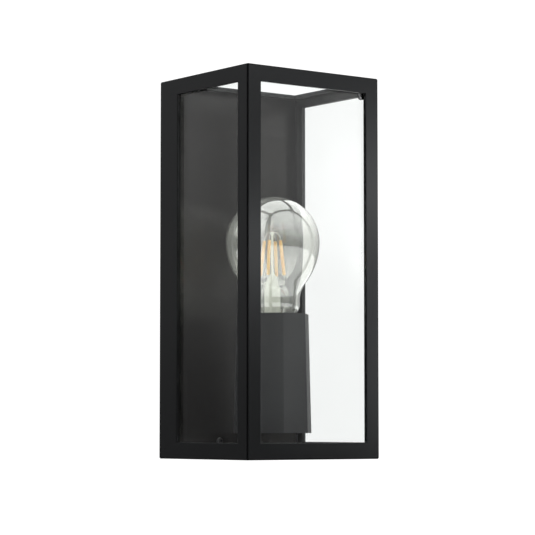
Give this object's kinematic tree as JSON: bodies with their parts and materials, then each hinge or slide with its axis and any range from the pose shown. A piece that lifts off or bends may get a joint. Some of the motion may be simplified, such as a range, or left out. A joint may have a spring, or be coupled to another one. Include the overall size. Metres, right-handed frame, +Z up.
{
  "type": "outdoor wall lantern",
  "caption": "Glazed black box wall lantern: steel cage with clear panes over a wall tray with an upright screw-cap lamp in a faceted sleeve.",
  "frame": {"origin": "middle of the wall bracket's rear face, on the wall plane", "axes": "+Y into the wall, -Y out of the front, +Z up, +X to the right for someone who faces the front"},
  "size_m": [0.107, 0.0992, 0.2525],
  "materials": {
    "frame_paint": "satin black powder coat",
    "tray_paint": "semi-gloss black powder coat",
    "sleeve_paint": "satin dark grey paint",
    "black_screw": "blackened steel",
    "clip_steel": "black spring steel",
    "pane_glass": "clear float glass with polished arrises",
    "gasket_rubber": "black cellular rubber",
    "soft_rubber": "black moulded rubber",
    "zinc_steel": "zinc plated steel",
    "nylon": "natural nylon",
    "block_plastic": "white polyamide",
    "brass": "plain brass",
    "socket_ceramic": "unglazed white porcelain",
    "socket_metal": "nickel plated brass",
    "wire_brown": "brown insulation",
    "wire_blue": "blue insulation",
    "wire_earth": "green and yellow insulation",
    "bulb_glass": "clear thin blown glass",
    "stem_glass": "clear pressed glass",
    "filament": "orange phosphor coating",
    "lead_wire": "bright nickel wire",
    "cap_metal": "nickel plated rolled cap",
    "cap_black": "black glass insulator",
    "solder": "tinned contact",
    "driver_board": "circuit board and parts"
  },
  "bodies": {
    "wall_unit": {"backplate": "tray_paint", "arm": "tray_paint", "sleeve": "sleeve_paint", "cage_screws": "black_screw", "arm_screws": "black_screw", "wall_gasket": "gasket_rubber", "cable_grommet": "soft_rubber", "wire_bushing": "soft_rubber", "wall_bracket": "zinc_steel", "tray_screws": "zinc_steel", "arm_nuts": "zinc_steel", "nipple_nuts": "zinc_steel", "lock_washer": "zinc_steel", "nipple": "zinc_steel", "block_screws": "zinc_steel", "spacer_washers": "nylon", "terminal_block": "block_plastic", "terminal_screws": "brass", "earth_tag": "brass", "earth_screw": "brass", "socket_contact": "brass", "socket_body": "socket_ceramic", "socket_base": "socket_ceramic", "socket_shell": "socket_metal", "live_wire": "wire_brown", "neutral_wire": "wire_blue", "earth_wire": "wire_earth"},
    "cage": {"front_frame": "frame_paint", "left_frame": "frame_paint", "right_frame": "frame_paint", "top_frame": "frame_paint", "bottom_frame": "frame_paint", "front_pane": "pane_glass", "left_pane": "pane_glass", "right_pane": "pane_glass", "top_pane": "pane_glass", "front_gasket": "gasket_rubber", "left_gasket": "gasket_rubber", "right_gasket": "gasket_rubber", "top_gasket": "gasket_rubber", "top_clips": "clip_steel", "clip_studs": "zinc_steel", "clip_nuts": "black_screw", "corner_angles": "clip_steel"},
    "lamp_lift": {"cap_contact": "solder"},
    "lamp": {"bulb_glass": "bulb_glass", "bulb_stem": "stem_glass", "filaments": "filament", "filament_leads": "lead_wire", "bulb_cap": "cap_metal", "cap_insulator": "cap_black", "lamp_driver": "driver_board"}
  },
  "joints": [
    {"name": "cage_slide", "type": "slide", "parent": "wall_unit", "child": "cage", "axis": [0, -1, 0], "range_m": [0, 0.095]},
    {"name": "lamp_rise", "type": "slide", "parent": "wall_unit", "child": "lamp_lift", "axis": [0, 0, 1], "range_m": [0, 0.02]},
    {"name": "lamp_turn", "type": "hinge", "parent": "lamp_lift", "child": "lamp", "pos_m": [0, -0.0549, -0.045], "axis": [0, 0, 1], "range_deg": [0, 1980]}
  ],
  "couplings": [
    {"joint": "lamp_rise", "follows": "lamp_turn", "m_per_rad": 0.00057757}
  ]
}
